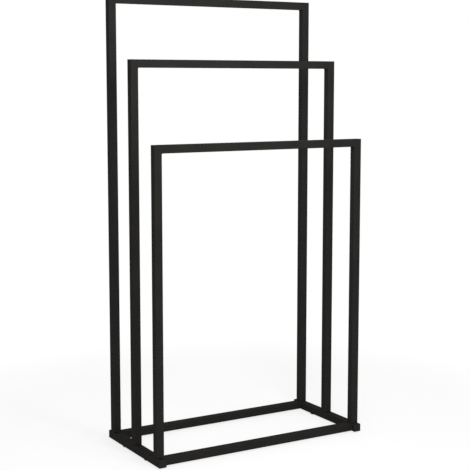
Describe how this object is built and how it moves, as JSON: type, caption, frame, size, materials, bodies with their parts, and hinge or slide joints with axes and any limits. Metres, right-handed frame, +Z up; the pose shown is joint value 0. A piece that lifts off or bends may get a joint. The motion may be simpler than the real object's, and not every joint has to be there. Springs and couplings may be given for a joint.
{
  "type": "freestanding towel stand",
  "caption": "Free-standing towel stand with stepped square-tube hoops, lowest at the front, bolted upright on an open rectangular base frame with end caps and small round feet.",
  "frame": {"origin": "centre of the stand's footprint, on the floor at the underside of the foot glides", "axes": "+X to the right along the towel bars, +Y from the low front hoop to the tall rear hoop, +Z up"},
  "size_m": [0.45, 0.218, 0.857],
  "materials": {
    "black_steel_tube": "satin black powder coat",
    "black_cap_plastic": "moulded matte black",
    "glide_rubber": "dark grey, matte",
    "zinc_steel": "bright zinc plated"
  },
  "bodies": {
    "root": {"front_cross_rail": "black_steel_tube", "front_left_post": "black_steel_tube", "front_left_post_bolt": "zinc_steel", "front_left_post_insert": "zinc_steel", "front_left_post_washer": "zinc_steel", "front_right_post": "black_steel_tube", "front_right_post_bolt": "zinc_steel", "front_right_post_insert": "zinc_steel", "front_right_post_washer": "zinc_steel", "front_towel_bar": "black_steel_tube", "left_base_rail": "black_steel_tube", "left_front_end_cap": "black_cap_plastic", "left_front_foot_glide": "glide_rubber", "left_rear_end_cap": "black_cap_plastic", "left_rear_foot_glide": "glide_rubber", "middle_left_post": "black_steel_tube", "middle_left_post_bolt": "zinc_steel", "middle_left_post_insert": "zinc_steel", "middle_left_post_washer": "zinc_steel", "middle_right_post": "black_steel_tube", "middle_right_post_bolt": "zinc_steel", "middle_right_post_insert": "zinc_steel", "middle_right_post_washer": "zinc_steel", "middle_towel_bar": "black_steel_tube", "rear_cross_rail": "black_steel_tube", "rear_left_post": "black_steel_tube", "rear_left_post_bolt": "zinc_steel", "rear_left_post_insert": "zinc_steel", "rear_left_post_washer": "zinc_steel", "rear_right_post": "black_steel_tube", "rear_right_post_bolt": "zinc_steel", "rear_right_post_insert": "zinc_steel", "rear_right_post_washer": "zinc_steel", "rear_towel_bar": "black_steel_tube", "right_base_rail": "black_steel_tube", "right_front_end_cap": "black_cap_plastic", "right_front_foot_glide": "glide_rubber", "right_rear_end_cap": "black_cap_plastic", "right_rear_foot_glide": "glide_rubber"}
  },
  "joints": []
}
